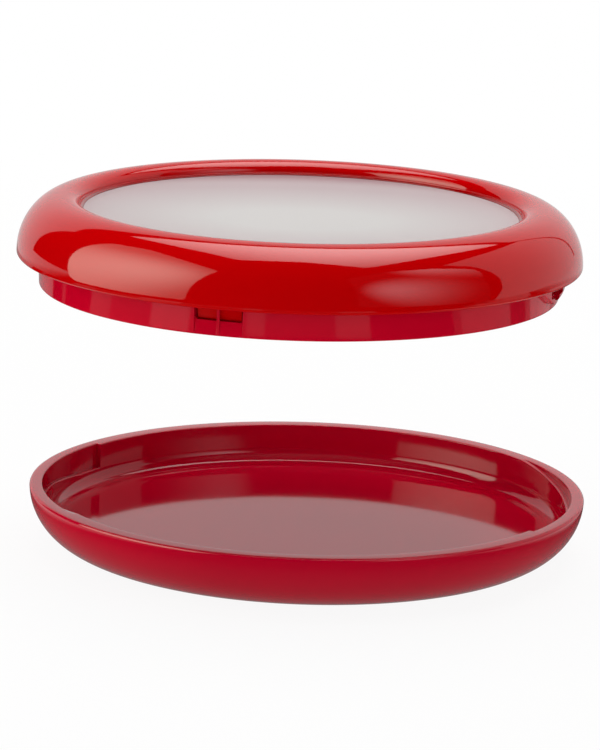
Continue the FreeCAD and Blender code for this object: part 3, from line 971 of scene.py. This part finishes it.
def card_cloth(name, strength, glows=(), hex_colour=WHITE):
    """Lit lamp cloth: one strength all over, and glows on it that fade over an ellipse."""
    material, tree = blank_material(name)
    place = add_node(tree, "ShaderNodeTexCoord").outputs["Object"]
    for height, middle, turn, reach in glows:
        from_middle = add_node(tree, "ShaderNodeVectorMath", {"operation": "SUBTRACT"},
                               {0: place, 1: middle})
        flat = add_node(tree, "ShaderNodeMapping", {"vector_type": "TEXTURE"},
                        {"Vector": from_middle.outputs["Vector"],
                         "Rotation": (math.radians(turn), 0, 0), "Scale": reach})
        away = add_node(tree, "ShaderNodeVectorMath", {"operation": "LENGTH"},
                        {0: flat.outputs["Vector"]})
        glow = add_node(tree, "ShaderNodeMapRange", {"interpolation_type": "SMOOTHSTEP"},
                        {"Value": away.outputs["Value"], "From Min": 0.0, "From Max": 1.0,
                         "To Min": height, "To Max": 0.0})
        both = add_node(tree, "ShaderNodeMath", {"operation": "ADD"},
                        {0: strength, 1: glow.outputs["Result"]})
        strength = both.outputs["Value"]
    light = add_node(tree, "ShaderNodeEmission", None,
                     {"Color": (*linear(hex_colour), 1), "Strength": strength})
    add_node(tree, "ShaderNodeOutputMaterial", None, {"Surface": light.outputs["Emission"]})
    return material


def upright(side, corners):
    """Corners (y, z) on an upright card that faces the saver from one side."""
    return [(side, y, z) for y, z in corners]


def add_cards():
    """Light cards round the saver, placed where the photograph's gloss mirrors them."""
    left = upright(LEFT_SIDE, LEFT_CARD)
    right_back = upright(RIGHT_SIDE, RIGHT_BACK_CARD)
    right_front = upright(RIGHT_SIDE, RIGHT_FRONT_CARD)
    # Name, corners, rounding of the corners, strength, glows and colour
    cards = (
        ("Backdrop", BACK_CARD, 0, BACK_LIGHT, (), WHITE),
        ("Top card", TOP_CARD, TOP_ROUND, 1.0, (TOP_GLOW,), "#FFFDFB"),
        ("Left card", left, LEFT_ROUND, 1.1, (LEFT_GLOW,), "#FFFCEB"),
        ("Right back card", right_back, 0, 0.65, (), WHITE),
        ("Right front card", right_front, 0, 0.04, (RIGHT_LOW_GLOW, RIGHT_HIGH_GLOW), "#FBFBFF"),
    )
    for name, corners, corner_round, base, glows, hue in cards:
        card = stage_mesh(name, corners, corner_round, card_cloth(name, base, glows, hue))
        card.visible_camera = False
        card.visible_diffuse = name != "Left card"


def add_strips():
    """Rings of table that only the gloss mirrors: the skirt the near one, the bezel the far one."""
    for near, far, strips in (NEAR_RING, FAR_RING):
        for start, end, strength in strips:
            turns = [math.radians(start + (end - start) * step / STRIP_STEPS)
                     for step in range(STRIP_STEPS + 1)]
            corners = [on_round(near, STRIP_LIFT, turn) for turn in turns]
            corners += [on_round(far, STRIP_LIFT, turn) for turn in reversed(turns)]
            strip = stage_mesh("Table strip", corners, 0, card_cloth("Table strip", strength))
            strip.visible_camera = False
            strip.visible_diffuse = False
            strip.visible_shadow = False


def add_fill():
    """Soft lamps, in front and on the left, that light the plastic but aren't mirrored in it."""
    for name, (strength, size, place, turn) in LAMPS.items():
        lamp = bpy.data.lights.new(name, "AREA")
        lamp.shape = "RECTANGLE"
        lamp.size, lamp.size_y = size
        lamp.energy = strength * math.pi * lamp.size * lamp.size_y
        fill = add_object(name, lamp)
        fill.location = place
        fill.rotation_euler = [math.radians(part) for part in turn]
        fill.visible_camera = False
        fill.visible_glossy = False


def add_camera():
    """The photograph's view: a long lens, a little above the saver, rolled a little to the left."""
    camera = bpy.data.cameras.new("Camera")
    camera.sensor_width = SENSOR
    camera.lens = LENS
    camera.clip_end = CLIP_END
    viewer = add_object("Camera", camera)
    tilt = Matrix.Rotation(math.radians(90 - TILT_DOWN), 4, "X")
    yaw = Matrix.Rotation(math.radians(TURN_LEFT), 4, "Z")
    roll = Matrix.Rotation(math.radians(ROLL), 4, "Z")
    viewer.matrix_world = Matrix.Translation(CAMERA_PLACE) @ yaw @ tilt @ roll
    bpy.context.scene.camera = viewer


class SAVER_PT_panel(bpy.types.Panel):
    """Lists the saver's pieces and their sizes"""
    bl_label = "Food Saver"
    bl_idname = "SAVER_PT_panel"
    bl_space_type = "VIEW_3D"
    bl_region_type = "UI"
    bl_category = "Food Saver"

    def draw(self, context):
        for operator in OPERATORS:
            self.layout.operator(operator.bl_idname)
        scene = context.scene
        for group in (scene.saver_dish, scene.saver_lid, scene.saver_finish):
            for name in group.__annotations__:
                self.layout.prop(group, name)


OPERATORS = (SAVER_OT_dish, SAVER_OT_membrane, SAVER_OT_bezel, SAVER_OT_collar, SAVER_OT_stage)
CLASSES = (SaverDishSizes, SaverLidSizes, SaverFinish) + OPERATORS + (SAVER_PT_panel,)


def register():
    for each in CLASSES:
        bpy.utils.register_class(each)
    bpy.types.Scene.saver_dish = bpy.props.PointerProperty(type=SaverDishSizes)
    bpy.types.Scene.saver_lid = bpy.props.PointerProperty(type=SaverLidSizes)
    bpy.types.Scene.saver_finish = bpy.props.PointerProperty(type=SaverFinish)


def unregister():
    del bpy.types.Scene.saver_finish
    del bpy.types.Scene.saver_lid
    del bpy.types.Scene.saver_dish
    for each in reversed(CLASSES):
        bpy.utils.unregister_class(each)


def main():
    register()
    bpy.ops.saver.dish()
    bpy.ops.saver.membrane()
    bpy.ops.saver.bezel()
    bpy.ops.saver.collar()
    bpy.ops.saver.stage()


if __name__ == "__main__":
    main()
